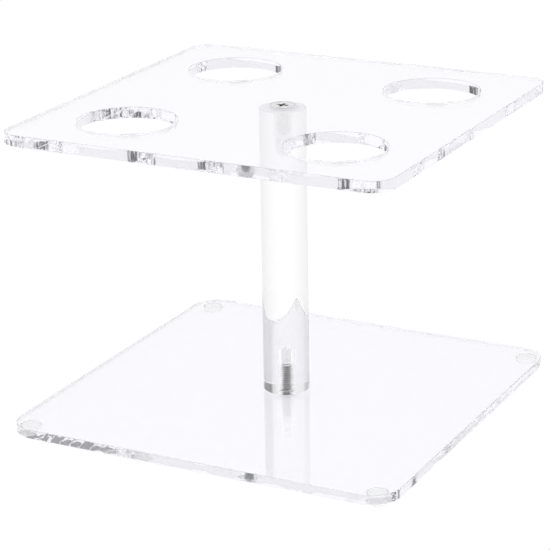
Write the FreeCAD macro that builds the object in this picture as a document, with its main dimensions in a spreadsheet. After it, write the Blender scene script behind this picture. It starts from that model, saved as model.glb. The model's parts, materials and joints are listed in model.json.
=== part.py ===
import FreeCAD, Part
import Sketcher
import os

# Clear acrylic stand for hand-held hair tools: a square base on four silicone bumpers, a solid rod
# standing in its middle, and a square top plate with four round holes that the tools hang in. One
# flat-head screw at each end of the rod pulls the plates onto it.
#
# Millimetres, +Z up. The origin is on the standing surface, under the middle of the base.

os.makedirs("parts", exist_ok=True)
doc = FreeCAD.newDocument("tool_stand")

# ---------------------------------------------------------------- driving dimensions

DIMENSIONS = {
    # square base sheet
    "base_side": 220,
    "base_thickness": 5,
    "base_corner": 16,
    # square top sheet and its tool holes
    "top_side": 215,
    "top_thickness": 6,
    "top_corner": 12,
    "tool_hole": 51.5,
    "tool_hole_spacing": 118,
    # rounding that flame polishing leaves on both sheets' edges
    "edge_round": 0.2,
    # solid rod, drilled and tapped at both ends
    "post_diameter": 25,
    "post_length": 152,
    "post_end_break": 0.3,
    "tap_drill": 5.1,
    "tap_drill_depth": 23.8,
    "thread_bore": 6.45,
    "thread_bore_depth": 15.5,
    # flat-head machine screws, 1/4 inch with 20 threads to the inch, 3/4 inch long
    "screw_diameter": 6.35,
    "screw_length": 19.05,
    "screw_tip_break": 0.8,
    "head_diameter": 12.4,
    "head_rim": 0.25,
    "head_angle": 82,
    "head_sunk_by": 0.1,
    "recess_span": 7.0,
    "recess_wing": 1.6,
    "recess_depth": 2.6,
    "recess_taper": -14,
    # hole that a screw passes through in either sheet
    "sheet_hole": 6.8,
    # silicone bumpers
    "foot_diameter": 11.5,
    "foot_height": 2.5,
    "foot_round": 1.6,
    "foot_spacing": 200,
}

# Sizes that follow from the driving ones, as spreadsheet formulas in terms of their aliases.
DERIVED = {
    "head_cone_height": "(head_diameter - screw_diameter) / 2 / tan(head_angle * 1 deg / 2)",
    "sheet_sink": "head_diameter + 2 * (head_sunk_by + head_rim) * tan(head_angle * 1 deg / 2)",
    "base_underside": "foot_height",
    "post_foot": "base_underside + base_thickness",
    "post_head": "post_foot + post_length",
    "stand_height": "post_head + top_thickness",
}

sheet = doc.addObject("Spreadsheet::Sheet", "dims")
for row, (alias, value) in enumerate({**DIMENSIONS, **DERIVED}.items(), start=1):
    text = str(value) if alias in DIMENSIONS else f"={value}"
    sheet.set(f"A{row}", alias)
    sheet.set(f"B{row}", text)
    sheet.setAlias(f"B{row}", alias)
    doc.recompute()


def dim(alias):
    """The value of one spreadsheet cell, as a number."""
    return float(sheet.get(alias))


# ---------------------------------------------------------------- shared building steps

TOLERANCE = 1e-4


def bind(thing, prop, formula):
    """Drive one property of an object by a formula in spreadsheet aliases."""
    words = [f"dims.{word}" if word in DIMENSIONS or word in DERIVED else word for word in formula.split()]
    thing.setExpression(prop, " ".join(words))


def new_body(label):
    """An empty body whose label names its node."""
    body = doc.addObject("PartDesign::Body", label)
    body.Label = label
    return body


def origin_item(body, role):
    """One of a body's own origin planes or axes, such as XY_Plane or Z_Axis."""
    return next(item for item in body.Origin.OriginFeatures if item.Role == role)


def attach(feature, body, height="0"):
    """Lay a sketch or primitive on the body's XY plane, raised by a formula."""
    feature.AttachmentSupport = [(origin_item(body, "XY_Plane"), "")]
    feature.MapMode = "FlatFace"
    bind(feature, "AttachmentOffset.Base.z", height)


def new_sketch(body, name, height="0"):
    """An empty sketch parallel to the body's XY plane."""
    sketch = body.newObject("Sketcher::SketchObject", name)
    attach(sketch, body, height)
    return sketch


def drive(sketch, constraint, formula):
    """Add a dimension to a sketch and bind it."""
    index = sketch.addConstraint(constraint)
    bind(sketch, f"Constraints[{index}]", formula)


def draw_circle(sketch, diameter, offset=None):
    """A circle on the sketch's origin, or moved by one formula along both of its axes."""
    start = 0.0 if offset is None else 1.0
    centre = FreeCAD.Vector(start, start, 0)
    circle = sketch.addGeometry(Part.Circle(centre, FreeCAD.Vector(0, 0, 1), 1.0), False)
    drive(sketch, Sketcher.Constraint("Diameter", circle, 2.0), diameter)
    if offset is None:
        sketch.addConstraint(Sketcher.Constraint("Coincident", circle, 3, -1, 1))
    else:
        drive(sketch, Sketcher.Constraint("DistanceX", -1, 1, circle, 3, start), offset)
        drive(sketch, Sketcher.Constraint("DistanceY", -1, 1, circle, 3, start), offset)


def draw_rectangle(sketch, width, depth):
    """A rectangle centred on the sketch's origin."""
    corners = [FreeCAD.Vector(x, y, 0) for x, y in ((-1, -1), (1, -1), (1, 1), (-1, 1))]
    for start, end in zip(corners, corners[1:] + corners[:1]):
        sketch.addGeometry(Part.LineSegment(start, end), False)
    for side in range(4):
        sketch.addConstraint(Sketcher.Constraint("Coincident", side, 2, (side + 1) % 4, 1))
        sketch.addConstraint(Sketcher.Constraint("Vertical" if side % 2 else "Horizontal", side))
    sketch.addConstraint(Sketcher.Constraint("Symmetric", 0, 1, 1, 2, -1, 1))
    drive(sketch, Sketcher.Constraint("DistanceX", 0, 1, 0, 2, 2.0), width)
    drive(sketch, Sketcher.Constraint("DistanceY", 1, 1, 1, 2, 2.0), depth)


def pad(body, sketch, length, reversed_pad=False, midplane=False):
    """Material from a sketch, upwards, downwards or both ways."""
    feature = body.newObject("PartDesign::Pad", sketch.Name + "_pad")
    feature.Profile = sketch
    feature.Midplane = midplane
    feature.Reversed = reversed_pad
    bind(feature, "Length", length)
    doc.recompute()
    return feature


def cut_is_real(body, before, name):
    """A cut that misses the solid raises no error of its own, so its volume is compared."""
    doc.recompute()
    if body.Shape.Volume > before - TOLERANCE:
        raise RuntimeError(f"{name} removed nothing")


def polar_pattern(body, original, copies, angle):
    """Repeat a cut about the body's Z axis and make the pattern the body's tip."""
    before = body.Shape.Volume
    pattern = body.newObject("PartDesign::PolarPattern", original.Name + "_pattern")
    pattern.Originals = [original]
    pattern.Axis = (origin_item(body, "Z_Axis"), [""])
    pattern.Angle = angle
    pattern.Occurrences = copies
    body.Tip = pattern
    cut_is_real(body, before, pattern.Name)


def dress_edges(body, kind, chosen, size):
    """Fillet or chamfer every edge of the body that the test picks out."""
    names = [f"Edge{i}" for i, edge in enumerate(body.Shape.Edges, start=1) if chosen(edge)]
    dressed = body.Tip
    feature = body.newObject(f"PartDesign::{kind}", f"{body.Name}_{kind.lower()}")
    feature.Base = (dressed, names)
    bind(feature, "Radius" if kind == "Fillet" else "Size", size)
    doc.recompute()
    return feature


def is_flat(edge):
    """Whether an edge lies in one horizontal plane."""
    return edge.BoundBox.ZLength < TOLERANCE


def place(body, height, flipped=False, x="0", y="0"):
    """Put a finished body where it sits on the stand; flipped turns its top face down."""
    if flipped:
        body.Placement.Rotation = FreeCAD.Rotation(FreeCAD.Vector(1, 0, 0), 180)
    bind(body, "Placement.Base.x", x)
    bind(body, "Placement.Base.y", y)
    bind(body, "Placement.Base.z", height)


# ---------------------------------------------------------------- the two sheets


def drill_for_screw(body):
    """Through hole on the sheet's Z axis with a countersink in its local top face."""
    before = body.Shape.Volume
    sketch = new_sketch(body, body.Name + "_screw_sketch")
    draw_circle(sketch, "sheet_hole")
    doc.recompute()
    hole = body.newObject("PartDesign::Hole", body.Name + "_screw_hole")
    hole.Profile = sketch
    doc.recompute()
    hole.DepthType = "ThroughAll"
    hole.HoleCutType = "Countersink"
    hole.HoleCutCustomValues = True
    bind(hole, "Diameter", "sheet_hole")
    bind(hole, "HoleCutDiameter", "sheet_sink")
    bind(hole, "HoleCutCountersinkAngle", "head_angle")
    cut_is_real(body, before, hole.Name)


def make_sheet(label, side, thickness, corner, tool_holes):
    """A square sheet with its countersunk face on the local XY plane and its thickness below."""
    body = new_body(label)
    outline = new_sketch(body, label + "_outline")
    draw_rectangle(outline, side, side)
    pad(body, outline, thickness, reversed_pad=True)
    dress_edges(body, "Fillet", lambda edge: not is_flat(edge), corner)
    if tool_holes:
        before = body.Shape.Volume
        sketch = new_sketch(body, label + "_tool_hole")
        draw_circle(sketch, "tool_hole", offset="tool_hole_spacing / 2")
        pocket = body.newObject("PartDesign::Pocket", label + "_tool_hole_cut")
        pocket.Profile = sketch
        pocket.Type = "ThroughAll"
        cut_is_real(body, before, pocket.Name)
        polar_pattern(body, pocket, copies=4, angle=360)
    dress_edges(body, "Fillet", is_flat, "edge_round")
    drill_for_screw(body)
    return body


base_plate = make_sheet("base_plate", "base_side", "base_thickness", "base_corner", tool_holes=False)
place(base_plate, "base_underside", flipped=True)

top_plate = make_sheet("top_plate", "top_side", "top_thickness", "top_corner", tool_holes=True)
place(top_plate, "stand_height")

# ---------------------------------------------------------------- the rod


def make_post():
    """The rod, centred on its body's origin, with the same tapped hole in both ends."""
    body = new_body("post")
    section = new_sketch(body, "post_section")
    draw_circle(section, "post_diameter")
    pad(body, section, "post_length", midplane=True)
    dress_edges(body, "Chamfer", is_flat, "post_end_break")

    before = body.Shape.Volume
    sketch = new_sketch(body, "post_hole_sketch", height="post_length / 2")
    draw_circle(sketch, "tap_drill")
    doc.recompute()
    hole = body.newObject("PartDesign::Hole", "post_hole")
    hole.Profile = sketch
    doc.recompute()
    hole.DepthType = "Dimension"
    hole.DrillPoint = "Angled"
    hole.HoleCutType = "Counterbore"
    hole.HoleCutCustomValues = True
    bind(hole, "Diameter", "tap_drill")
    bind(hole, "Depth", "tap_drill_depth")
    bind(hole, "HoleCutDiameter", "thread_bore")
    bind(hole, "HoleCutDepth", "thread_bore_depth")
    cut_is_real(body, before, hole.Name)

    before = body.Shape.Volume
    mirrored = body.newObject("PartDesign::Mirrored", "post_hole_mirrored")
    mirrored.Originals = [hole]
    mirrored.MirrorPlane = (origin_item(body, "XY_Plane"), [""])
    body.Tip = mirrored
    cut_is_real(body, before, mirrored.Name)
    return body


post = make_post()
place(post, "post_foot + post_length / 2")

# ---------------------------------------------------------------- the screws


def add_cylinder(body, name, diameter, height, bottom):
    """A round bar on the body's Z axis, from a bottom height upwards."""
    cylinder = body.newObject("PartDesign::AdditiveCylinder", name)
    attach(cylinder, body, bottom)
    bind(cylinder, "Radius", f"{diameter} / 2")
    bind(cylinder, "Height", height)
    doc.recompute()


def make_screw(label):
    """A flat-head screw pointing down, with the top of its head on the local XY plane."""
    body = new_body(label)
    add_cylinder(body, label + "_rim", "head_diameter", "head_rim", "0 - head_rim")
    cone = body.newObject("PartDesign::AdditiveCone", label + "_cone")
    attach(cone, body, "0 - head_rim - head_cone_height")
    bind(cone, "Radius1", "screw_diameter / 2")
    bind(cone, "Radius2", "head_diameter / 2")
    bind(cone, "Height", "head_cone_height")
    doc.recompute()
    add_cylinder(body, label + "_shank", "screw_diameter", "screw_length", "0 - screw_length")
    lowest = -dim("screw_length") + TOLERANCE
    dress_edges(body, "Chamfer", lambda edge: edge.BoundBox.ZMax < lowest, "screw_tip_break")

    before = body.Shape.Volume
    slot = new_sketch(body, label + "_recess_sketch")
    draw_rectangle(slot, "recess_span", "recess_wing")
    pocket = body.newObject("PartDesign::Pocket", label + "_recess")
    pocket.Profile = slot
    bind(pocket, "Length", "recess_depth")
    bind(pocket, "TaperAngle", "recess_taper")
    cut_is_real(body, before, pocket.Name)
    polar_pattern(body, pocket, copies=2, angle=90)
    return body


top_screw = make_screw("top_screw")
place(top_screw, "stand_height - head_sunk_by")

base_screw = make_screw("base_screw")
place(base_screw, "base_underside + head_sunk_by", flipped=True)

# ---------------------------------------------------------------- the bumpers


def make_foot(label, x_sign, y_sign):
    """A round bumper with its glued face on the local XY plane and its rounded rim below."""
    body = new_body(label)
    section = new_sketch(body, label + "_section")
    draw_circle(section, "foot_diameter")
    pad(body, section, "foot_height", reversed_pad=True)
    lowest = -dim("foot_height") + TOLERANCE
    dress_edges(body, "Fillet", lambda edge: edge.BoundBox.ZMax < lowest, "foot_round")
    place(body, "base_underside", x=f"{x_sign} * foot_spacing / 2", y=f"{y_sign} * foot_spacing / 2")
    return body


feet = [
    make_foot(f"foot_{row}_{side}", x_sign, y_sign)
    for row, y_sign in (("front", -1), ("rear", 1))
    for side, x_sign in (("left", -1), ("right", 1))
]

# ---------------------------------------------------------------- checks and files

doc.recompute()
for item in doc.Objects:
    if "Invalid" in item.State or "Error" in item.State:
        raise RuntimeError(f"{item.Name} did not compute")

bodies = [base_plate, top_plate, post, top_screw, base_screw, *feet]
for body in bodies:
    shape = body.Shape
    if shape.isNull() or not shape.isValid() or len(shape.Solids) != 1:
        raise RuntimeError(f"{body.Label} is not one valid solid")

for body in bodies:
    body.Shape.exportStep(f"parts/{body.Label}.step")
    box = body.Shape.BoundBox
    print(f"{body.Label}: {body.Shape.Volume / 1000:.3f} cm3, z {box.ZMin:.2f} to {box.ZMax:.2f}")
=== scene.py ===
import json
import math

import bmesh
import bpy
from mathutils import Matrix, Vector, noise


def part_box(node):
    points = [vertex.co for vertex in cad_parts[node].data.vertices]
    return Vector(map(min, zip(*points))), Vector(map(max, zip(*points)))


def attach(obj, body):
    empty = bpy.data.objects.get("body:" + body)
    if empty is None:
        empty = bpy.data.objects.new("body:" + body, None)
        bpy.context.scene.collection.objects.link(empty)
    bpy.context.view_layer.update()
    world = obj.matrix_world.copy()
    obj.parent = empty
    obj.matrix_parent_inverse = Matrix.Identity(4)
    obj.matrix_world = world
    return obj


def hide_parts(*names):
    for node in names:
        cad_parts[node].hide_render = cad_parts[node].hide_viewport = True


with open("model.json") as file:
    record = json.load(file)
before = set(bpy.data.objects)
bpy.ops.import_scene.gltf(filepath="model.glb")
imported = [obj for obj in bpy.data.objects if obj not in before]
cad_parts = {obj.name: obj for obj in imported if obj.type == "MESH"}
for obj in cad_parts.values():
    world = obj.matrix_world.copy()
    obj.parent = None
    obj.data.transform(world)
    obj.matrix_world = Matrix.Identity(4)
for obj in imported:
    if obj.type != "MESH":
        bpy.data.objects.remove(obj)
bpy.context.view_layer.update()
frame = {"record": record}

# Clear acrylic tool stand. The sheets, rod, screws and bumpers are rebuilt as fine meshes, because a
# clear solid shows every facet of its surface and of what is inside it. Lengths are in metres.

MM = 0.001

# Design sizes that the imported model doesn't state. The rest are read from its nodes and its mounts.
BASE_CORNER = 16 * MM
TOP_CORNER = 12 * MM
EDGE_ROUND = 0.2 * MM
SHEET_HOLE_RADIUS = 3.4 * MM
HEAD_HALF_ANGLE = math.radians(41)
HEAD_RIM = 0.25 * MM
HEAD_SUNK_BY = 0.1 * MM
SCREW_RADIUS = 3.175 * MM
SCREW_TIP_BREAK = 0.8 * MM
THREAD_PITCH = 25.4 / 20 * MM
THREAD_HEIGHT = 0.7 * MM
RECESS_SPAN = 7.0 * MM
RECESS_WING = 1.6 * MM
RECESS_DEPTH = 2.6 * MM
RECESS_TAPER = math.radians(14)
BORE_DEPTH = 15.5 * MM
DRILL_RADIUS = 2.55 * MM
DRILL_DEPTH = 23.8 * MM
DRILL_POINT = math.radians(59)
POST_END_BREAK = 0.3 * MM
FOOT_ROUND = 1.6 * MM

# A film of air keeps the screws' heads off the clear sheets and lies under the rod's foot, which mirrors
# it. The rod's top and the glued bumpers sink a hair into the sheets, so that no film shows there.
AIR_GAP = 0.03 * MM
JOINT_SINK = 0.02 * MM

# A support ring this far from a rounding keeps smooth shading out of the flat beside it.
SUPPORT = 0.08 * MM
ROUND_STEPS = 5

# Places of the materials on a sheet, on the rod and on a screw.
FACE, EDGE, RIM, SINK = range(4)
SIDE, LOWER_HOLE, FOOT_END, UPPER_HOLE, TOP_END = range(5)
THREAD, HEAD = range(2)


# ---------------------------------------------------------------- mesh building


def new_piece(name, bm, materials):
    """Turn a bmesh into a smooth-shaded object with its materials."""
    bmesh.ops.recalc_face_normals(bm, faces=bm.faces)
    mesh = bpy.data.meshes.new(name)
    bm.to_mesh(mesh)
    bm.free()
    for material in materials:
        mesh.materials.append(material)
    mesh.shade_smooth()
    piece = bpy.data.objects.new(name, mesh)
    bpy.context.scene.collection.objects.link(piece)
    return piece


def add_ring(bm, points, height):
    """One closed ring of vertices."""
    return [bm.verts.new((x, y, height)) for x, y in points]


def join_rings(bm, rings, material=0):
    """Quads between each ring and the next."""
    for upper, lower in zip(rings, rings[1:]):
        count = len(upper)
        for i in range(count):
            j = (i + 1) % count
            face = bm.faces.new((upper[i], upper[j], lower[j], lower[i]))
            face.material_index = material


def circle_points(radius, count, centre=(0.0, 0.0)):
    """Points around a circle."""
    turn = [2 * math.pi * i / count for i in range(count)]
    return [(centre[0] + radius * math.cos(t), centre[1] + radius * math.sin(t)) for t in turn]


def rounded_square_points(half, radius, side_steps, corner_steps, inset=0.0):
    """Points around a square with rounded corners, moved inwards by an inset."""
    straight = half - radius
    arc = radius - inset
    points = []
    for quarter in range(4):
        start = quarter * math.pi / 2
        spin = complex(math.cos(start), math.sin(start))
        for i in range(side_steps):
            along = -straight + 2 * straight * i / side_steps
            point = spin * complex(half - inset, along)
            points.append((point.real, point.imag))
        for i in range(corner_steps):
            t = math.pi / 2 * i / corner_steps
            point = spin * complex(straight + arc * math.cos(t), straight + arc * math.sin(t))
            points.append((point.real, point.imag))
    return points


def edge_profile(top, bottom, wall_rows):
    """(inset, height) down a sheet's edge: a support ring, the rounding, the wall, and the same below."""
    upper = [(EDGE_ROUND + SUPPORT, top)]
    for i in range(ROUND_STEPS + 1):
        t = math.pi / 2 * i / ROUND_STEPS
        upper.append((EDGE_ROUND * (1 - math.sin(t)), top - EDGE_ROUND * (1 - math.cos(t))))
    first = top - EDGE_ROUND - SUPPORT
    last = bottom + EDGE_ROUND + SUPPORT
    wall = [(0.0, first + (last - first) * i / wall_rows) for i in range(wall_rows + 1)]
    lower = [(inset, top + bottom - height) for inset, height in reversed(upper)]
    return upper + wall + lower


def lathe(bm, profile, count):
    """A closed solid of revolution about Z, from a profile whose two ends lie on the axis."""
    first = bm.verts.new((0, 0, profile[0][1]))
    last = bm.verts.new((0, 0, profile[-1][1]))
    rings = [add_ring(bm, circle_points(radius, count), height) for radius, height in profile[1:-1]]
    for i in range(count):
        j = (i + 1) % count
        bm.faces.new((first, rings[0][i], rings[0][j]))
        bm.faces.new((last, rings[-1][j], rings[-1][i]))
    join_rings(bm, rings)


# ---------------------------------------------------------------- materials


def new_material(name):
    """A material, its node tree and its principled shader."""
    material = bpy.data.materials.new(name)
    material.use_nodes = True
    tree = material.node_tree
    shader = tree.nodes["Principled BSDF"]
    return material, tree, shader


def add_node(tree, kind, inputs=None, **settings):
    """Add one node, set its properties and its unlinked inputs."""
    node = tree.nodes.new(kind)
    for key, value in settings.items():
        setattr(node, key, value)
    for key, value in (inputs or {}).items():
        node.inputs[key].default_value = value
    return node


def blend_colour(tree, shader, share, first, second):
    """Blend the shader's colour from the first to the second by a share."""
    colour = add_node(tree, "ShaderNodeMix", data_type="RGBA")
    colour.inputs["A"].default_value = (*first, 1)
    colour.inputs["B"].default_value = (*second, 1)
    tree.links.new(share, colour.inputs["Factor"])
    tree.links.new(colour.outputs["Result"], shader.inputs["Base Color"])


def blend_roughness(tree, shader, marks, roughness, marks_range=(0.0, 1.0)):
    """Vary the shader's roughness between two values with some marks."""
    rough = add_node(tree, "ShaderNodeMapRange", {
        "From Min": marks_range[0], "From Max": marks_range[1],
        "To Min": roughness[0], "To Max": roughness[1]})
    tree.links.new(marks, rough.inputs["Value"])
    tree.links.new(rough.outputs[0], shader.inputs["Roughness"])


ACRYLIC_IOR = 1.491
MARKS_RANGE = (0.35, 0.7)
LAMP_TINT = (0.996, 0.996, 0.996)
INSIDE_COLOUR = (0.68, 0.76, 0.8)
INSIDE_DENSITY = 0.3


def acrylic(name, tint, glancing_tint, roughness=(0.0, 0.012), grain=(60, 60, 60), ridge=0.0, clear=1.0):
    """Clear cast acrylic, which takes a second tint at a glancing angle; where that tint is darker, it is
    painted shade. Lamps shine through it.

    The grain is how many marks from handling, sawing or polishing there are to the metre along each axis,
    and the ridge is how high they stand. The clear share of the surface lets light in, and the rest is
    opaque."""
    material, tree, shader = new_material(name)
    shader.inputs["Transmission Weight"].default_value = clear
    shader.inputs["IOR"].default_value = ACRYLIC_IOR
    facing = add_node(tree, "ShaderNodeLayerWeight", {"Blend": 0.5})
    blend_colour(tree, shader, facing.outputs["Facing"], tint, glancing_tint)
    marks = marks_noise(tree, grain)
    blend_roughness(tree, shader, marks, roughness, MARKS_RANGE)
    if ridge:
        bump = add_node(tree, "ShaderNodeBump", {"Strength": 1.0, "Distance": ridge})
        tree.links.new(marks, bump.inputs["Height"])
        tree.links.new(bump.outputs[0], shader.inputs["Normal"])
    lamp_through(tree, shader, LAMP_TINT)
    fill_clear(tree)
    return material


def marks_noise(tree, grain):
    """Noise whose marks are as many to the metre as the grain says, along each axis."""
    place = add_node(tree, "ShaderNodeTexCoord")
    stretch = add_node(tree, "ShaderNodeVectorMath", {1: grain}, operation="MULTIPLY")
    marks = add_node(tree, "ShaderNodeTexNoise", {"Scale": 1.0, "Detail": 3.0, "Roughness": 0.6})
    tree.links.new(place.outputs["Object"], stretch.inputs[0])
    tree.links.new(stretch.outputs[0], marks.inputs["Vector"])
    return marks.outputs["Fac"]


def fill_clear(tree):
    """What the inside of thick acrylic takes off the light, which is a little more red than the rest."""
    absorb = add_node(tree, "ShaderNodeVolumeAbsorption", {
        "Color": (*INSIDE_COLOUR, 1), "Density": INSIDE_DENSITY})
    tree.links.new(absorb.outputs["Volume"], tree.nodes["Material Output"].inputs["Volume"])


def lamp_through(tree, shader, tint):
    """Let lamps and the surroundings through a clear shader, so that what lies behind it is lit."""
    rays = add_node(tree, "ShaderNodeLightPath")
    clear = add_node(tree, "ShaderNodeBsdfTransparent", {"Color": (*tint, 1)})
    surface = shader.outputs[0]
    for kind in ("Is Shadow Ray", "Is Diffuse Ray"):
        mix = add_node(tree, "ShaderNodeMixShader")
        tree.links.new(rays.outputs[kind], mix.inputs[0])
        tree.links.new(surface, mix.inputs[1])
        tree.links.new(clear.outputs[0], mix.inputs[2])
        surface = mix.outputs[0]
    tree.links.new(surface, tree.nodes["Material Output"].inputs["Surface"])


STEEL_GRAIN = 900.0
STEEL_ROUGHNESS = (0.22, 0.42)
GROOVE_BOTTOM = SCREW_RADIUS - 0.75 * THREAD_HEIGHT
GROOVE_TOP = SCREW_RADIUS - 0.4 * THREAD_HEIGHT


def steel(name, bright, near_axis):
    """Zinc-plated steel with a fine satin grain. Near the screw's axis, where the thread's grooves and the
    recess lie, it takes another colour, which is painted shade."""
    material, tree, shader = new_material(name)
    shader.inputs["Metallic"].default_value = 1
    place = add_node(tree, "ShaderNodeTexCoord")
    flat = add_node(tree, "ShaderNodeVectorMath", {1: (1, 1, 0)}, operation="MULTIPLY")
    radius = add_node(tree, "ShaderNodeVectorMath", operation="LENGTH")
    tree.links.new(place.outputs["Object"], flat.inputs[0])
    tree.links.new(flat.outputs[0], radius.inputs[0])
    groove = add_node(tree, "ShaderNodeMapRange", {"From Min": GROOVE_BOTTOM, "From Max": GROOVE_TOP})
    tree.links.new(radius.outputs["Value"], groove.inputs["Value"])
    blend_colour(tree, shader, groove.outputs[0], near_axis, bright)
    grain = add_node(tree, "ShaderNodeTexNoise", {"Scale": STEEL_GRAIN, "Detail": 3.0})
    tree.links.new(place.outputs["Object"], grain.inputs["Vector"])
    blend_roughness(tree, shader, grain.outputs["Fac"], STEEL_ROUGHNESS)
    return material


SILICONE_IOR = 1.41
SILICONE_GRAIN = (260, 260, 260)
SILICONE_GREEN = (0.9, 0.91, 0.88)
SILICONE_CLEAR = (0.95, 0.955, 0.94)
SILICONE_ROUGHNESS = (0.12, 0.24)
SILICONE_LAMP_TINT = (0.97, 0.97, 0.965)
SILICONE_CLEARNESS = 0.97


def silicone():
    """Clear silicone: soft, a little milky in patches and faintly green."""
    material, tree, shader = new_material("clear_silicone")
    marks = marks_noise(tree, SILICONE_GRAIN)
    blend_colour(tree, shader, marks, SILICONE_GREEN, SILICONE_CLEAR)
    blend_roughness(tree, shader, marks, SILICONE_ROUGHNESS)
    shader.inputs["Transmission Weight"].default_value = SILICONE_CLEARNESS
    shader.inputs["IOR"].default_value = SILICONE_IOR
    lamp_through(tree, shader, SILICONE_LAMP_TINT)
    return material


# The acrylic's tints, which light takes on at each surface that it crosses.
TOP_TINT = (0.960, 0.956, 0.985)
# The base sheet's tint is darker than the top sheet's, as painted shade on the same acrylic.
BASE_TINT = (0.938, 0.934, 0.968)
EDGE_TINT = (0.955, 0.945, 0.985)
# The rounded rims of the sheets' edges and holes are darkened into thin lines as painted shade.
RIM_SHADE_TINT = (0.75, 0.75, 0.77)
# The countersinks are darkened round the screws' heads as painted shade.
SINK_SHADE_TINT = (0.45, 0.45, 0.46)
ROD_TINT = (0.975, 0.975, 0.98)
# The rod goes grey at a glancing angle: painted shade on its sides.
ROD_GLANCING_SHADE = (0.62, 0.62, 0.63)
ROD_END_TINT = (0.98, 0.98, 0.99)
BORE_TINT = (0.95, 0.95, 0.955)
FROSTED_TINT = (0.98, 0.98, 0.985)
HAZE_TINT = (0.97, 0.97, 0.97)

# The screws' colours, with painted shade: the thread's steel is darker than the head's, near black painted
# shade lies in the thread's grooves and the recess, and the head's middle is a little darker.
SHADED_THREAD_STEEL = (0.5, 0.5, 0.505)
GROOVE_PAINTED_SHADE = (0.015, 0.015, 0.016)
HEAD_STEEL = (0.8, 0.8, 0.805)
HEAD_CENTRE = (0.78, 0.78, 0.785)

# Marks to the metre along X, Y and Z.
FINE_GRAIN = (900, 900, 900)
SAWN_GRAIN = (1400, 1400, 90)
DRAWN_GRAIN = (500, 500, 12)
TAPPED_GRAIN = (900, 900, 2500)
FROST_GRAIN = (300, 300, 300)
SAW_RIDGE = 0.002 * MM

TOP_FACE = acrylic("acrylic_top_face", TOP_TINT, TOP_TINT)
BASE_FACE = acrylic("acrylic_base_face", BASE_TINT, BASE_TINT)
SHEET_EDGE = acrylic("acrylic_cut_edge", EDGE_TINT, EDGE_TINT, (0.0, 0.015), SAWN_GRAIN,
                     ridge=SAW_RIDGE, clear=0.96)
SHEET_RIM = acrylic("acrylic_polished_rim", RIM_SHADE_TINT, RIM_SHADE_TINT, (0.05, 0.15), FINE_GRAIN)
SHEET_SINK = acrylic("acrylic_countersink", SINK_SHADE_TINT, SINK_SHADE_TINT, (0.05, 0.12), FINE_GRAIN)
ROD_SIDE = acrylic("acrylic_rod", ROD_TINT, ROD_GLANCING_SHADE, (0.0, 0.015), DRAWN_GRAIN)
ROD_BORE = acrylic("acrylic_tapped_hole", BORE_TINT, BORE_TINT, (0.04, 0.1), TAPPED_GRAIN, clear=0.95)
ROD_FROSTED = acrylic("acrylic_frosted_hole", FROSTED_TINT, FROSTED_TINT, (0.25, 0.35), FROST_GRAIN,
                      clear=0.15)
ROD_END = acrylic("acrylic_rod_end", ROD_END_TINT, ROD_END_TINT)
ROD_TOP = acrylic("acrylic_hazy_rod_end", HAZE_TINT, HAZE_TINT, (0.0, 0.03), FINE_GRAIN, clear=0.5)
# The threaded steel is darkened and its grooves and recess blackened as painted shade.
STEEL = steel("screw_steel", SHADED_THREAD_STEEL, GROOVE_PAINTED_SHADE)
STEEL_HEAD = steel("screw_steel_head", HEAD_STEEL, HEAD_CENTRE)
SILICONE = silicone()

# ---------------------------------------------------------------- the sheets

SIDE_STEPS = 360
CORNER_STEPS = 24
POST_STEPS = 256
HOLE_STEPS = 320
SCREW_HOLE_STEPS = 96
SCREW_HOLE_ROUND = 0.05 * MM
WALL_ROWS = 8


def fill_flat(bm, loops, material):
    """Close a flat face that is bounded by several rings."""
    edges = []
    for ring in loops:
        for a, b in zip(ring, ring[1:] + ring[:1]):
            edges.append(bm.edges.get((a, b)) or bm.edges.new((a, b)))
    made = bmesh.ops.triangle_fill(bm, use_beauty=True, use_dissolve=False, edges=edges)
    for item in made["geom"]:
        if isinstance(item, bmesh.types.BMFace):
            item.material_index = material


# (size of a wave along the edge, how much longer it is through the sheet, height) of the ripples.
RIPPLES = (
    (14 * MM, 2.0, 0.060 * MM),
    (4.5 * MM, 3.0, 0.035 * MM),
    (2.2 * MM, 5.0, 0.012 * MM),
)
RIPPLE_TOTAL = sum(height for size, stretch, height in RIPPLES)
RIPPLE_FADE = 0.9 * MM
RIPPLE_SHIFT = 7.3
TOP_SEED = 40
BASE_SEED = 80


def ripple(point, seed, share):
    """How far a cut edge lies inside its nominal surface, at a point. The share is how much it ripples."""
    x, y, z = point
    height = 0.0
    for i, (size, stretch, depth) in enumerate(RIPPLES):
        place = Vector((x / size, y / size, z / (size * stretch) + RIPPLE_SHIFT * i + seed))
        height += depth * noise.noise(place)
    return RIPPLE_TOTAL + share * height


def ripple_rings(rings, seed):
    """Press ripples into a band, square to its own outline. They fade out at its two rims."""
    count = len(rings[0])
    ends = (rings[0][0].co.z, rings[-1][0].co.z)
    for ring in rings:
        depth = min(abs(ring[0].co.z - end) for end in ends)
        share = min(1.0, max(0.0, (depth - EDGE_ROUND) / RIPPLE_FADE))
        flat = [v.co.xy.copy() for v in ring]
        for i, vert in enumerate(ring):
            along = flat[(i + 1) % count] - flat[i - 1]
            inward = Vector((-along.y, along.x)).normalized()
            vert.co.xy += inward * ripple(vert.co, seed, share)


def join_band(bm, rings):
    """Faces of a cut edge: its wall, and the rounded rim along each side of the wall."""
    rim = ROUND_STEPS + 2
    join_rings(bm, rings[:rim], material=RIM)
    join_rings(bm, rings[rim - 1:1 - rim], material=EDGE)
    join_rings(bm, rings[-rim:], material=RIM)


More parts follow.
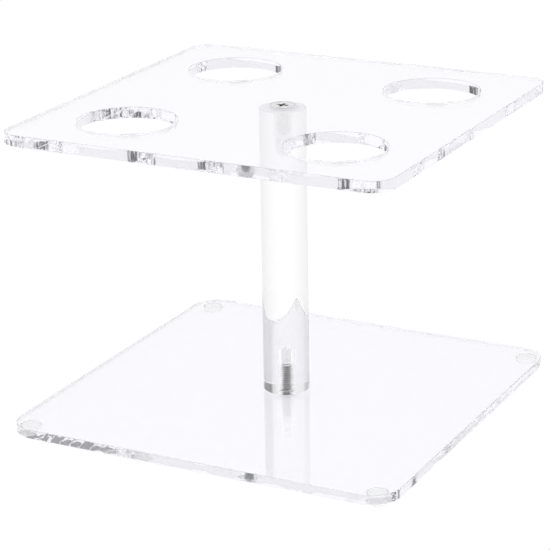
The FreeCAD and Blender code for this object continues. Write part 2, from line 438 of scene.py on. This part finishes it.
def make_sheet(node, corner, tool_holes, sink_on_top, face_material):
    """One sheet: rounded outline, round tool holes, and a countersunk hole in its middle."""
    low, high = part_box(node)
    half = high.x
    seed = TOP_SEED if sink_on_top else BASE_SEED
    bm = bmesh.new()
    profile = edge_profile(high.z, low.z, WALL_ROWS)

    outer = []
    for inset, height in profile:
        points = rounded_square_points(half, corner, SIDE_STEPS, CORNER_STEPS, inset)
        outer.append(add_ring(bm, points, height))
    ripple_rings(outer, seed)
    join_band(bm, outer)
    bands = [outer]

    # A hole's rings run the other way round, so that its ripples go into the sheet too.
    for centre, radius in tool_holes:
        rings = []
        for inset, height in profile:
            points = circle_points(-radius - inset, HOLE_STEPS, centre)
            rings.append(add_ring(bm, points, height)[::-1])
        ripple_rings(rings, seed + 1)
        join_band(bm, rings)
        bands.append(rings)

    bore = screw_hole_profile(high.z, low.z) if sink_on_top else screw_hole_profile(low.z, high.z)[::-1]
    rings = [add_ring(bm, circle_points(radius, SCREW_HOLE_STEPS), z) for radius, z in bore]
    join_rings(bm, rings, material=SINK)
    bands.append(rings)

    fill_flat(bm, [band[0] for band in bands], material=FACE)
    fill_flat(bm, [band[-1] for band in bands], material=FACE)
    piece = new_piece(node + "_clear", bm, [face_material, SHEET_EDGE, SHEET_RIM, SHEET_SINK])
    finish_piece(piece, node)
    return piece


def screw_hole_profile(face, back):
    """(radius, height) down a screw's hole, from the sheet's countersunk face to its back."""
    low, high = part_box("top_screw")
    sink_radius = high.x + (HEAD_SUNK_BY + HEAD_RIM) * math.tan(HEAD_HALF_ANGLE) + AIR_GAP
    sink_depth = (sink_radius - SHEET_HOLE_RADIUS) / math.tan(HEAD_HALF_ANGLE)
    down = math.copysign(1, back - face)
    small = SCREW_HOLE_ROUND
    return [
        (sink_radius + SUPPORT + small, face),
        (sink_radius + small, face),
        (sink_radius - small, face + down * small),
        (SHEET_HOLE_RADIUS + 4 * small, face + down * (sink_depth - 3 * small)),
        (SHEET_HOLE_RADIUS, face + down * (sink_depth + small)),
        (SHEET_HOLE_RADIUS, back - down * 2 * small),
        (SHEET_HOLE_RADIUS + small, back),
        (SHEET_HOLE_RADIUS + SUPPORT + small, back),
    ]


def finish_piece(piece, node):
    """The piece stands for a CAD node and moves with the stand."""
    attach(piece, "root")
    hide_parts(node)


# ---------------------------------------------------------------- the thread

THREAD_COLUMNS = 96
ROWS_PER_PITCH = 12

# The tapped hole clears the screw's crests by the gap. Its ridges are worn almost flat at the top.
TAP_GAP = 0.05 * MM
TAP_HEIGHT = 0.62 * MM
WORN_TAP_HEIGHT = 0.12 * MM

# Share of the pitch that is flat on a crest and in a groove, and how the thread begins and ends.
THREAD_FLAT = 0.12
TIP_SHARE = 0.25
RUN_OUT = 1.2 * THREAD_PITCH


def thread_flank(height, turn):
    """0 in the groove and 1 on the crest of a right-hand thread, at a height and a share of a turn."""
    phase = (height / THREAD_PITCH - turn) % 1.0
    ridge = 1 - abs(2 * phase - 1)
    return min(max((ridge - THREAD_FLAT) / (1 - 2 * THREAD_FLAT), 0.0), 1.0)


def screw_radius(height, turn, from_tip, to_neck):
    """Radius of a threaded shank. The thread starts small at the tip and runs out at the neck."""
    share = min(1.0, from_tip / SCREW_TIP_BREAK) * (1 - TIP_SHARE) + TIP_SHARE
    share *= min(1.0, to_neck / RUN_OUT)
    return SCREW_RADIUS - THREAD_HEIGHT * (1 - share * thread_flank(height, turn))


def tapped_radius(height, turn, share, ridge):
    """Radius of a tapped hole, whose ridges lie in the screw's grooves and are as high as told."""
    return SCREW_RADIUS + TAP_GAP - ridge * (1 - share * thread_flank(height, turn))


def thread_ring(bm, height, radius_at):
    """A ring of vertices whose radius changes round the turn."""
    ring = []
    for column in range(THREAD_COLUMNS):
        turn = column / THREAD_COLUMNS
        radius = radius_at(turn)
        angle = 2 * math.pi * turn
        ring.append(bm.verts.new((radius * math.cos(angle), radius * math.sin(angle), height)))
    return ring


# ---------------------------------------------------------------- the rod

HOLE_LEAD = 0.3 * MM
DRILL_ROUND = 0.08 * MM
POST_END_ROUND = 0.06 * MM


def tapped_hole(bm, mouth, inwards, material, ridge):
    """The wall of a blind tapped hole, from its mouth at one end of the rod. Returns its rings."""
    mouth_radius = SCREW_RADIUS + HOLE_LEAD
    rings = [add_ring(bm, circle_points(mouth_radius + SUPPORT, THREAD_COLUMNS), mouth)]
    rings.append(add_ring(bm, circle_points(mouth_radius, THREAD_COLUMNS), mouth))
    rows = int(BORE_DEPTH / THREAD_PITCH * ROWS_PER_PITCH)
    for row in range(rows + 1):
        depth = HOLE_LEAD + (BORE_DEPTH - HOLE_LEAD) * row / rows
        share = min(1.0, (BORE_DEPTH - depth) / THREAD_PITCH)
        height = mouth + inwards * depth
        rings.append(thread_ring(bm, height, lambda turn: tapped_radius(height, turn, share, ridge)))
    tip = DRILL_RADIUS / math.tan(DRILL_POINT)
    small = DRILL_ROUND
    for radius, depth in (
        (DRILL_RADIUS, BORE_DEPTH + 2 * small),
        (DRILL_RADIUS, DRILL_DEPTH - small),
        (DRILL_RADIUS - small, DRILL_DEPTH + small * 0.6),
        (small, DRILL_DEPTH + tip - small * 0.6),
    ):
        rings.append(add_ring(bm, circle_points(radius, THREAD_COLUMNS), mouth + inwards * depth))
    join_rings(bm, rings, material)
    bm.faces.new(rings[-1]).material_index = material
    return rings


def make_post():
    """The rod, with a tapped blind hole in each end. The upper hole's wall is frosted."""
    low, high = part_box("post")
    radius = high.x
    bottom = low.z + AIR_GAP
    top = high.z + JOINT_SINK
    soft = POST_END_ROUND
    chamfer = [
        (radius - POST_END_BREAK - SUPPORT, 0.0),
        (radius - POST_END_BREAK - soft, 0.0),
        (radius - POST_END_BREAK + soft, soft),
        (radius - soft, POST_END_BREAK - soft),
        (radius, POST_END_BREAK + soft),
        (radius, POST_END_BREAK + SUPPORT),
    ]
    profile = [(r, top - depth) for r, depth in chamfer]
    profile += [(r, bottom + depth) for r, depth in reversed(chamfer)]
    bm = bmesh.new()
    shell = [add_ring(bm, circle_points(r, POST_STEPS), height) for r, height in profile]
    join_rings(bm, shell, material=SIDE)
    upper = tapped_hole(bm, top, -1, material=UPPER_HOLE, ridge=WORN_TAP_HEIGHT)
    lower = tapped_hole(bm, bottom, 1, material=LOWER_HOLE, ridge=TAP_HEIGHT)
    fill_flat(bm, [shell[0], upper[0]], material=TOP_END)
    fill_flat(bm, [shell[-1], lower[0]], material=FOOT_END)
    piece = new_piece("post_clear", bm, [ROD_SIDE, ROD_BORE, ROD_END, ROD_FROSTED, ROD_TOP])
    finish_piece(piece, "post")


# ---------------------------------------------------------------- the screws

HEAD_ROUND = 0.04 * MM
SHARP_FROM = math.radians(40)

# The recess' cutter stands out of the head, and shrinks by these shares of its taper with depth.
CUTTER_HEIGHT = 0.3 * MM
SPAN_TAPER = 1.6
WING_TAPER = 0.35


def make_screw(node, head_up):
    """A flat-head screw with a helical thread and a cross recess."""
    low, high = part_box(node)
    head_radius = high.x
    length = high.z - low.z
    cone = (head_radius - SCREW_RADIUS) / math.tan(HEAD_HALF_ANGLE)
    neck = length - HEAD_RIM - cone
    tip = low.z if head_up else high.z
    up = 1 if head_up else -1
    bm = bmesh.new()

    rows = int(neck / THREAD_PITCH * ROWS_PER_PITCH)
    rings = []
    for row in range(rows + 1):
        along = neck * row / rows
        height = tip + up * along
        rings.append(thread_ring(bm, height, lambda turn: screw_radius(height, turn, along, neck - along)))
    join_rings(bm, rings, material=THREAD)
    bm.faces.new(rings[0])
    head = rings[-1:]
    edge = HEAD_ROUND
    for radius, along in (
        (SCREW_RADIUS - THREAD_HEIGHT + edge, neck + edge),
        (SCREW_RADIUS, neck + 4 * edge),
        (head_radius - edge, length - HEAD_RIM - edge),
        (head_radius, length - HEAD_RIM + edge),
        (head_radius, length - 2 * edge),
        (head_radius - 2 * edge, length),
        (head_radius - 6 * edge, length),
    ):
        head.append(add_ring(bm, circle_points(radius, THREAD_COLUMNS), tip + up * along))
    join_rings(bm, head, material=HEAD)
    bm.faces.new(head[-1]).material_index = HEAD
    piece = new_piece(node + "_threaded", bm, [STEEL, STEEL_HEAD])
    cut_recess(piece, tip + up * length, up)
    finish_piece(piece, node)


def cut_recess(piece, top, up):
    """Cut a cross into a screw's head. Its arms get shorter and narrower with depth."""
    bm = bmesh.new()
    shrink = RECESS_DEPTH * math.tan(RECESS_TAPER)
    levels = ((CUTTER_HEIGHT, 0.0), (-RECESS_DEPTH, shrink))
    for crossed in (False, True):
        rings = []
        for height, inset in levels:
            along = RECESS_SPAN / 2 - inset * SPAN_TAPER
            across = RECESS_WING / 2 - inset * WING_TAPER
            arm = [(along, across), (-along, across), (-along, -across), (along, -across)]
            if crossed:
                arm = [(-y, x) for x, y in arm]
            rings.append(add_ring(bm, arm, top + up * height))
        join_rings(bm, rings)
        bm.faces.new(rings[0])
        bm.faces.new(rings[1])
    cutter = new_piece("recess_cutter", bm, [STEEL])
    cut = piece.modifiers.new("recess", "BOOLEAN")
    cut.operation = "DIFFERENCE"
    cut.solver = "EXACT"
    cut.use_self = True
    cut.object = cutter
    graph = bpy.context.evaluated_depsgraph_get()
    mesh = bpy.data.meshes.new_from_object(piece.evaluated_get(graph))
    piece.modifiers.clear()
    piece.data = mesh
    piece.data.set_sharp_from_angle(angle=SHARP_FROM)
    bpy.data.objects.remove(cutter)


# ---------------------------------------------------------------- the bumpers

FOOT_STEPS = 96
FOOT_ROUND_STEPS = 8


def make_foot(node):
    """A silicone bumper with a rounded lower rim, glued to the base without any air."""
    low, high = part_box(node)
    centre = (low + high) / 2
    radius = (high.x - low.x) / 2
    top = high.z + JOINT_SINK
    profile = [(0, top), (radius - 2 * SUPPORT, top), (radius - SUPPORT, top)]
    profile += [(radius, high.z - SUPPORT), (radius, low.z + FOOT_ROUND + SUPPORT)]
    for i in range(FOOT_ROUND_STEPS + 1):
        t = math.pi / 2 * i / FOOT_ROUND_STEPS
        profile.append((radius - FOOT_ROUND * (1 - math.cos(t)), low.z + FOOT_ROUND * (1 - math.sin(t))))
    profile += [(radius - FOOT_ROUND - SUPPORT, low.z), (0, low.z)]
    bm = bmesh.new()
    lathe(bm, profile, FOOT_STEPS)
    bmesh.ops.translate(bm, vec=(centre.x, centre.y, 0), verts=bm.verts)
    piece = new_piece(node + "_bumper", bm, [SILICONE])
    finish_piece(piece, node)


# ---------------------------------------------------------------- putting it together

TOOL_HOLES = [
    (mount["pos_m"][:2], mount["dims"]["r_mm"] * MM)
    for mount in frame["record"]["mounts"] if mount["kind"] == "bore"
]

make_sheet("top_plate", TOP_CORNER, TOOL_HOLES, sink_on_top=True, face_material=TOP_FACE)
make_sheet("base_plate", BASE_CORNER, [], sink_on_top=False, face_material=BASE_FACE)
make_post()
make_screw("top_screw", head_up=True)
make_screw("base_screw", head_up=False)
for row in ("front", "rear"):
    for side in ("left", "right"):
        make_foot(f"foot_{row}_{side}")

# ---------------------------------------------------------------- studio

CAMERA_AZIMUTH = math.radians(27.07)
CAMERA_ELEVATION = math.radians(18.62)
CAMERA_ROLL = math.radians(-0.946)
CAMERA_DISTANCE = 1.2023
CAMERA_LENS = 147.9
CAMERA_SENSOR = 36
CAMERA_REACH = 50
AIM_HEIGHT = 82.75 * MM
AIM_RIGHT = -5.37 * MM
AIM_UP = -10.96 * MM


def make_camera():
    """A long lens, a little above the top plate, off the stand's front right."""
    az, el = CAMERA_AZIMUTH, CAMERA_ELEVATION
    back = Vector((math.sin(az) * math.cos(el), -math.cos(az) * math.cos(el), math.sin(el)))
    pivot = Vector((0, 0, AIM_HEIGHT))
    place = pivot + back * CAMERA_DISTANCE
    target = pivot + Vector((math.cos(az), math.sin(az), 0)) * AIM_RIGHT + Vector((0, 0, AIM_UP))
    data = bpy.data.cameras.new("camera")
    data.lens = CAMERA_LENS
    data.sensor_width = CAMERA_SENSOR
    data.clip_end = CAMERA_REACH
    camera = bpy.data.objects.new("camera", data)
    turn = (target - place).to_track_quat("-Z", "Y").to_matrix().to_4x4()
    camera.matrix_world = Matrix.Translation(place) @ turn @ Matrix.Rotation(CAMERA_ROLL, 4, "Z")
    bpy.context.scene.collection.objects.link(camera)
    bpy.context.scene.camera = camera


FLOOR_RADIUS = 12.0
FLOOR_STEPS = 96
FLOOR_COLOUR = 0.25
FLOOR_GLOW = 0.8

# How bright the floor and the parts of the surroundings are, as shares of white.
FLOOR_LEVEL = 1.06
HORIZON_LEVEL = 1.06
SKY_LEVEL = 0.92
DARK_LEVEL = 0.04
DIM_LEVEL = 0.25
GLOOM_LEVEL = 0.7
WALL_LEVEL = 0.85
SCREEN_LEVEL = 0.6
DOORWAY_LEVEL = 0.32
CAMERA_SIDE_LEVEL = 0.4

# The bright horizon gives way to the sky between these heights.
HORIZON_TOP = math.sin(math.radians(9))
SKY_BOTTOM = math.sin(math.radians(13))

# Where the dim places fade out: from this share of their half width, and over so many degrees of height.
SIDE_FADE = 0.75
LOWER_FADE = 1.5
UPPER_FADE = 3
RAGGED_SIDES = 0.35
RAGGED_SCALE = 30.0
CLUTTER_SCALE = 26.0
SUN_SPREAD = math.radians(80)


def grey(level):
    """A neutral colour."""
    return (level, level, level, 1)


def make_floor():
    """A plain white floor, lit from below as a light table is, that reaches far beyond every view."""
    material, tree, shader = new_material("floor_white")
    shader.inputs["Base Color"].default_value = grey(FLOOR_COLOUR)
    shader.inputs["Roughness"].default_value = 1
    shader.inputs["Specular IOR Level"].default_value = 0
    shader.inputs["Emission Color"].default_value = grey(1)
    shader.inputs["Emission Strength"].default_value = FLOOR_GLOW
    bm = bmesh.new()
    bm.faces.new(add_ring(bm, circle_points(FLOOR_RADIUS, FLOOR_STEPS), 0.0))
    floor = new_piece("floor", bm, [material])


def facing_share(tree, direction, heading, width):
    """1 in the part of the surroundings that lies towards a heading, fading to 0 at its sides."""
    az = math.radians(heading)
    towards = (math.cos(az), math.sin(az), 0)
    flat = add_node(tree, "ShaderNodeVectorMath", {1: (1, 1, 0)}, operation="MULTIPLY")
    unit = add_node(tree, "ShaderNodeVectorMath", operation="NORMALIZE")
    dot = add_node(tree, "ShaderNodeVectorMath", {1: towards}, operation="DOT_PRODUCT")
    tree.links.new(direction, flat.inputs[0])
    tree.links.new(flat.outputs[0], unit.inputs[0])
    tree.links.new(unit.outputs[0], dot.inputs[0])
    outer = math.cos(math.radians(width))
    inner = math.cos(math.radians(width * SIDE_FADE))
    side = add_node(tree, "ShaderNodeMapRange", {"From Min": outer, "From Max": inner})
    tree.links.new(dot.outputs["Value"], side.inputs["Value"])
    return side.outputs[0]


def multiplied(tree, first, second):
    """The product of two numbers."""
    node = add_node(tree, "ShaderNodeMath", operation="MULTIPLY")
    tree.links.new(first, node.inputs[0])
    tree.links.new(second, node.inputs[1])
    return node.outputs[0]


def height_share(tree, height, low, high):
    """1 between two heights above the horizon, in degrees, with soft limits."""
    rise = add_node(tree, "ShaderNodeMapRange", {
        "From Min": math.sin(math.radians(low - LOWER_FADE)),
        "From Max": math.sin(math.radians(low + LOWER_FADE))})
    fall = add_node(tree, "ShaderNodeMapRange", {
        "From Min": math.sin(math.radians(high + UPPER_FADE)),
        "From Max": math.sin(math.radians(high - UPPER_FADE))})
    tree.links.new(height, rise.inputs["Value"])
    tree.links.new(height, fall.inputs["Value"])
    return multiplied(tree, rise.outputs[0], fall.outputs[0])


def laid_over(tree, below, share, above):
    """One colour over another by a share."""
    mix = add_node(tree, "ShaderNodeMix", data_type="RGBA")
    tree.links.new(share, mix.inputs["Factor"])
    tree.links.new(below, mix.inputs["A"])
    if isinstance(above, tuple):
        mix.inputs["B"].default_value = above
    else:
        tree.links.new(above, mix.inputs["B"])
    return mix.outputs["Result"]


def grey_ramp(tree, value, stops):
    """Greys that follow a value, from stops of a position and a level each."""
    ramp = add_node(tree, "ShaderNodeValToRGB")
    elements = ramp.color_ramp.elements
    while len(elements) < len(stops):
        elements.new(1.0)
    for element, (position, level) in zip(elements, stops):
        element.position = position
        element.color = grey(level)
    tree.links.new(value, ramp.inputs[0])
    return ramp.outputs[0]


def roughened(tree, direction):
    """The direction with some noise in it, for the sides of what stands round the studio."""
    wobble = add_node(tree, "ShaderNodeTexNoise", {"Scale": RAGGED_SCALE, "Detail": 2.0})
    tree.links.new(direction, wobble.inputs["Vector"])
    shift = add_node(tree, "ShaderNodeVectorMath", {1: (0.5, 0.5, 0.5)}, operation="SUBTRACT")
    tree.links.new(wobble.outputs["Color"], shift.inputs[0])
    ragged = add_node(tree, "ShaderNodeVectorMath", {1: (RAGGED_SIDES,) * 3}, operation="MULTIPLY_ADD")
    tree.links.new(shift.outputs[0], ragged.inputs[0])
    tree.links.new(direction, ragged.inputs[2])
    return ragged.outputs[0]


def make_surroundings():
    """A pale studio: bright low down, a little duller above, with dim and cluttered places round it."""
    world = bpy.data.worlds.new("studio")
    bpy.context.scene.world = world
    world.use_nodes = True
    tree = world.node_tree
    direction = add_node(tree, "ShaderNodeTexCoord").outputs["Generated"]
    split = add_node(tree, "ShaderNodeSeparateXYZ")
    tree.links.new(direction, split.inputs[0])
    height = split.outputs["Z"]
    colour = grey_ramp(tree, height, ((HORIZON_TOP, HORIZON_LEVEL), (SKY_BOTTOM, SKY_LEVEL)))

    spots = add_node(tree, "ShaderNodeTexNoise", {"Scale": CLUTTER_SCALE, "Detail": 3.0, "Roughness": 0.6})
    tree.links.new(direction, spots.inputs["Vector"])
    patches = spots.outputs["Fac"]
    clutter = grey_ramp(tree, patches, ((0.475, DARK_LEVEL), (0.5, DIM_LEVEL), (0.53, SKY_LEVEL)))
    gloom = grey_ramp(tree, patches, ((0.56, DARK_LEVEL), (0.62, GLOOM_LEVEL)))

    # (heading, half its width, lower and upper limit in degrees, colour) of what stands round the studio.
    furniture = (
        (42, 26, 12.5, 33, clutter),
        (66, 24, 20, 26, grey(DOORWAY_LEVEL)),
        (169, 12, 20.5, 24, grey(SCREEN_LEVEL)),
        (85, 10, 12.5, 20, gloom),
        (303, 24, 11, 25, grey(CAMERA_SIDE_LEVEL)),
        (243, 30, 12.5, 33, grey(WALL_LEVEL)),
    )
    ragged = roughened(tree, direction)
    for heading, width, lower, upper, above in furniture:
        side = facing_share(tree, ragged, heading, width)
        share = multiplied(tree, side, height_share(tree, height, lower, upper))
        colour = laid_over(tree, colour, share, above)
    tree.links.new(colour, tree.nodes["Background"].inputs["Color"])


def make_sun():
    """A very wide, soft light from overhead."""
    light = bpy.data.lights.new("overhead", "SUN")
    light.angle = SUN_SPREAD
    light.energy = math.pi * ((FLOOR_LEVEL - FLOOR_GLOW) / FLOOR_COLOUR - SKY_LEVEL)
    lamp = bpy.data.objects.new("overhead", light)
    bpy.context.scene.collection.objects.link(lamp)


make_camera()
make_floor()
make_surroundings()
make_sun()

# Light is followed far, because it is mirrored many times inside a clear sheet before it gets out.
LIGHT_BOUNCES = 256
CLEAR_LAYERS = 24
scene = bpy.context.scene
scene.view_settings.view_transform = "Standard"
scene.cycles.max_bounces = LIGHT_BOUNCES
scene.cycles.transmission_bounces = LIGHT_BOUNCES
scene.cycles.glossy_bounces = LIGHT_BOUNCES
scene.cycles.transparent_max_bounces = CLEAR_LAYERS
scene.cycles.denoising_input_passes = "RGB_ALBEDO"
scene.cycles.caustics_refractive = False
scene.cycles.caustics_reflective = False
